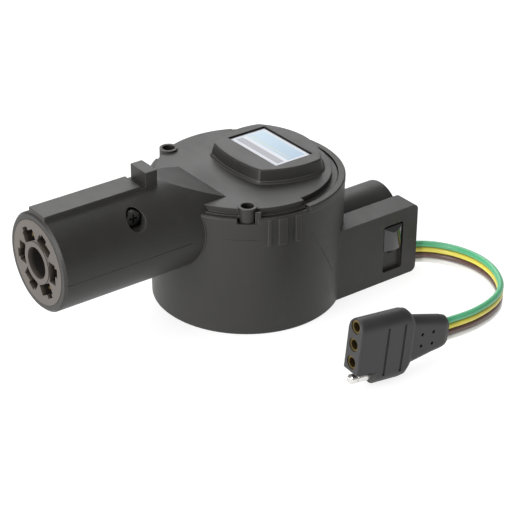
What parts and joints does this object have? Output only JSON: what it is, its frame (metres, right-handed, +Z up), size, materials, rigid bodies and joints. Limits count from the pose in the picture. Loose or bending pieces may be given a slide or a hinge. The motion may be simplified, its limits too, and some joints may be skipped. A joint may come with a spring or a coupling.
{
  "type": "brake controller unit",
  "caption": "Round control housing with a barrel plug, a flat lead with a moulded connector, and a round outlet; a slider sets its mode.",
  "frame": {"origin": "centre of the drum's flat base", "axes": "+X from the barrel plug towards the round outlet, +Z up the drum's axis, and the flat lead leaves on the -Y side"},
  "size_m": [0.1875, 0.1387, 0.0723],
  "materials": {
    "housing_plastic": "fine moulded texture, satin",
    "cover_plastic": "fine moulded texture, satin",
    "gasket_rubber": "matt",
    "screw_steel": "zinc plated",
    "label_film": "printed film, plain",
    "insert_plastic": "moulded, semi-matt",
    "contact_brass": "stamped",
    "board_laminate": "solder mask",
    "sink_aluminium": "extruded",
    "chip_epoxy": "moulded epoxy",
    "capacitor_sleeve": "shrink sleeve",
    "relay_plastic": "moulded",
    "shunt_alloy": "bare alloy",
    "terminal_plastic": "moulded",
    "wire_red": "wire insulation",
    "wire_blue": "wire insulation",
    "wire_orange": "wire insulation",
    "slider_gloss": "polished",
    "switch_nylon": "moulded nylon",
    "spring_steel": "cold rolled",
    "lead_insulation": "four bonded colours: green, yellow, brown, white",
    "connector_rubber": "overmoulded, matt",
    "pin_nickel": "nickel plated",
    "crimp_tin": "tinned",
    "ring_rubber": "silicone"
  },
  "bodies": {
    "unit": {"main_housing": "housing_plastic", "top_cover": "cover_plastic", "cover_gasket": "gasket_rubber", "cover_screws": "screw_steel", "label_plate": "label_film", "plug_insert": "insert_plastic", "plug_blades": "contact_brass", "plug_centre_contact": "contact_brass", "insert_screw": "screw_steel", "plug_seal_ring": "gasket_rubber", "main_board": "board_laminate", "board_screws": "screw_steel", "heat_sink": "sink_aluminium", "power_transistors": "chip_epoxy", "filter_capacitors": "capacitor_sleeve", "control_chip": "chip_epoxy", "motion_sensor": "chip_epoxy", "relay_module": "relay_plastic", "current_shunt": "shunt_alloy", "plug_terminal_block": "terminal_plastic", "lead_terminal_block": "terminal_plastic", "plug_harness_upper": "wire_red", "plug_harness_lower": "wire_blue", "outlet_harness": "wire_orange", "switch_base": "switch_nylon", "switch_contacts": "contact_brass", "detent_spring": "spring_steel", "lead_grommet": "gasket_rubber", "lead_inner_run": "lead_insulation", "flat_lead": "lead_insulation", "flat_plug_body": "connector_rubber", "flat_plug_sleeves": "contact_brass", "flat_plug_pin": "pin_nickel", "flat_plug_crimps": "crimp_tin", "outlet_insert": "insert_plastic", "outlet_contacts": "contact_brass", "outlet_o_ring": "ring_rubber"},
    "slider": {"mode_slider": "slider_gloss", "slider_carrier": "switch_nylon", "contact_bridge": "contact_brass"}
  },
  "joints": [
    {"name": "mode_slider_travel", "type": "slide", "parent": "unit", "child": "slider", "axis": [0, 0, -1], "range_m": [0, 0.01]}
  ]
}
